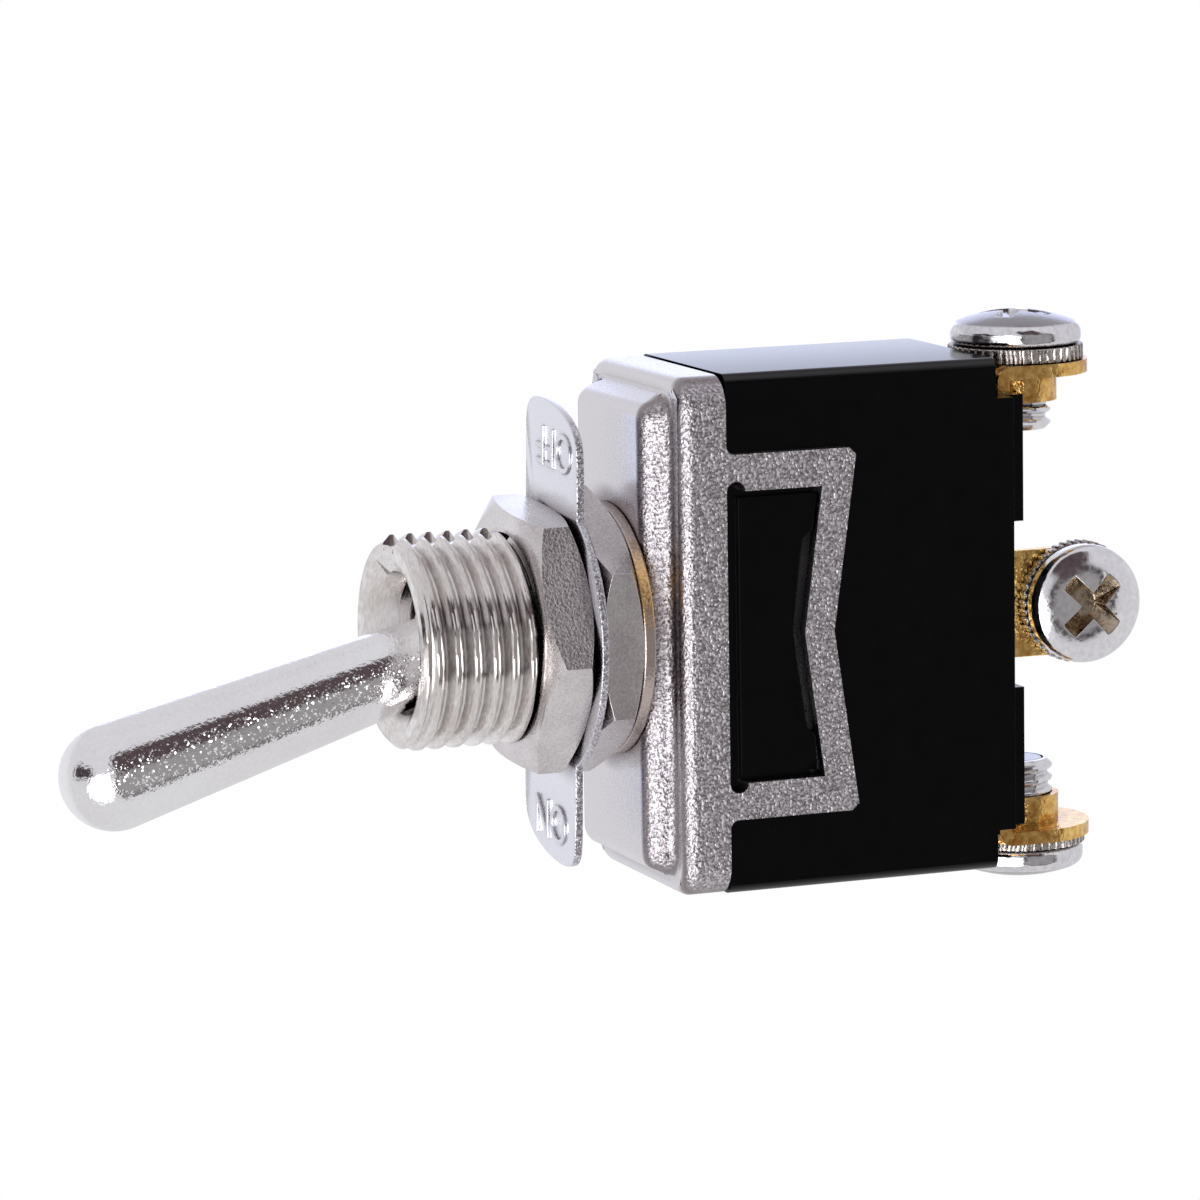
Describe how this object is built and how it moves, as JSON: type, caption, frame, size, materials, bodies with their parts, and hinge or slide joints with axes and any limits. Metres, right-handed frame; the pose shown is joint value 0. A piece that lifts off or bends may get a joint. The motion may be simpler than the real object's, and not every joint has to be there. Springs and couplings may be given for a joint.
{
  "type": "panel toggle switch",
  "caption": "Bat-handle toggle switch with threaded panel bushing, formed metal cover, black moulded casing and rear screw terminals.",
  "frame": {"origin": "on the threaded bushing's axis, at the front face of the cover's raised plateau", "axes": "-Y out of the panel along the bushing's axis, towards the lever; +Z along the casing's long way, towards the OFF end; +X across, towards the side that shows in the picture"},
  "size_m": [0.016, 0.0638, 0.0327],
  "materials": {
    "plated_cover": "bright zinc plate, grainy on its sides",
    "phenolic": "glossy black moulded phenolic",
    "fibre": "grey vulcanised fibre",
    "plated_bushing": "bright plated brass, turned",
    "plated_nut": "bright plated, lightly brushed",
    "satin_plate": "satin plate with embossed words",
    "chrome": "polished chrome",
    "steel": "plain steel",
    "nylon": "cream nylon",
    "copper": "formed copper strip",
    "silver": "silver",
    "brass": "stamped brass",
    "plated_screw": "bright plated steel",
    "plated_washer": "plated spring steel"
  },
  "bodies": {
    "housing": {"cover": "plated_cover", "casing": "phenolic", "insulator": "fibre", "bushing": "plated_bushing", "retaining_ring": "brass", "front_nut": "plated_nut", "indicator_plate": "satin_plate", "rear_nut": "plated_nut", "brass_washer": "brass", "fixed_contacts": "silver", "upper_terminal": "brass", "lower_terminal": "brass", "common_terminal": "brass", "end_screws": "plated_screw", "common_screw": "plated_screw", "end_washers": "plated_washer", "common_washer": "plated_washer"},
    "lever": {"lever": "chrome", "pivot_pin": "steel", "plunger_spring": "steel"},
    "plunger": {"plunger": "nylon"},
    "rocker": {"rocker": "copper", "moving_contacts": "silver"}
  },
  "joints": [
    {"name": "lever_throw", "type": "hinge", "parent": "housing", "child": "lever", "pos_m": [0, -0.0076, 0], "axis": [-1, 0, 0], "range_deg": [0, 31.8]},
    {"name": "plunger_slide", "type": "slide", "parent": "lever", "child": "plunger", "axis": [0, -0.9617, -0.274], "range_m": [0, 0.0012], "stiffness_N_per_m": 800, "springref_m": -0.001, "deforming": ["plunger_spring"]},
    {"name": "rocker_tilt", "type": "hinge", "parent": "housing", "child": "rocker", "pos_m": [0, 0.0095, 0], "axis": [1, 0, 0], "range_deg": [0, 16]}
  ],
  "couplings": [
    {"joint": "rocker_tilt", "follows": "lever_throw", "ratio": 0.503}
  ]
}
